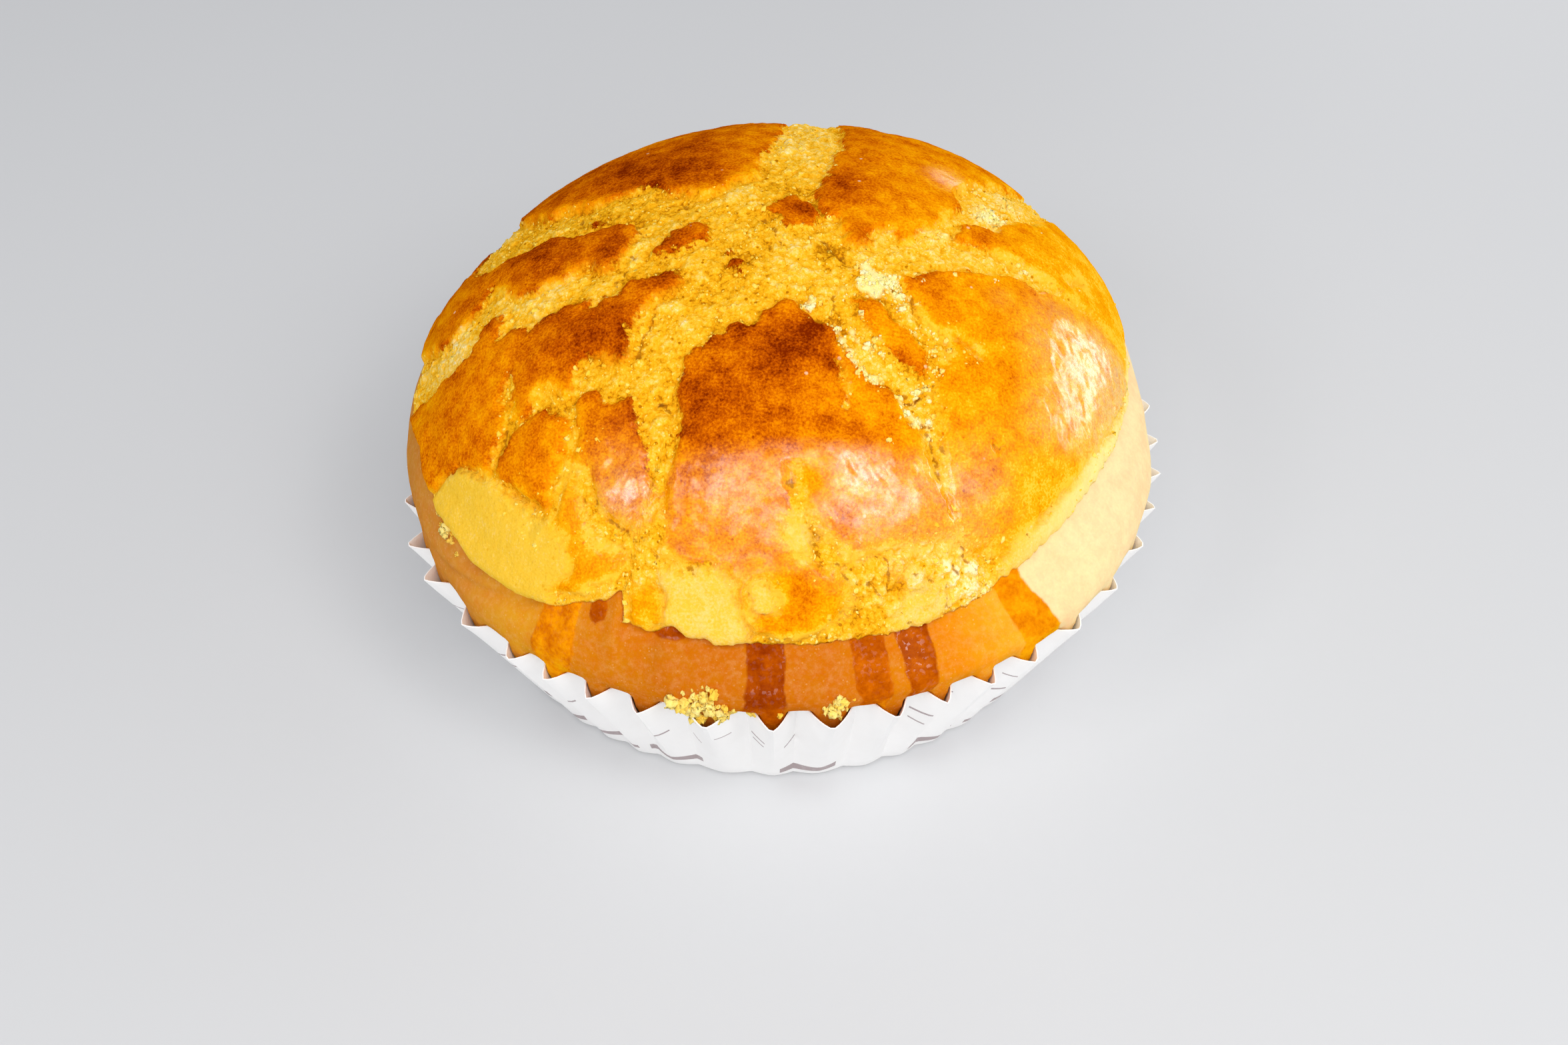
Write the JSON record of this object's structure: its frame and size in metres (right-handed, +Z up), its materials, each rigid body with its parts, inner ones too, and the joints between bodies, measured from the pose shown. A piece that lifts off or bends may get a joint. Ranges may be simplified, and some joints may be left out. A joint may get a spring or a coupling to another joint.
{
  "type": "pineapple bun",
  "caption": "Domed sweet bun with a cracked golden cookie crust, baked and standing in a white fluted paper case.",
  "frame": {"origin": "centre of the paper case's underside, on the surface it stands on", "axes": "+Z up through the top of the dome; -Y is the side that faces the picture's camera; +X is to the right in the picture"},
  "size_m": [0.108, 0.108, 0.0612],
  "materials": {
    "paper": "matte white paper, lightly marked with grease",
    "bread": "baked bread skin with a soft sheen and dark glossy drips of egg wash",
    "crust": "egg-washed browned patches with a gloss, between matte crumbly yellow furrows"
  },
  "bodies": {
    "root": {"paper_case": "paper", "bread": "bread", "cookie_crust": "crust"}
  },
  "joints": []
}
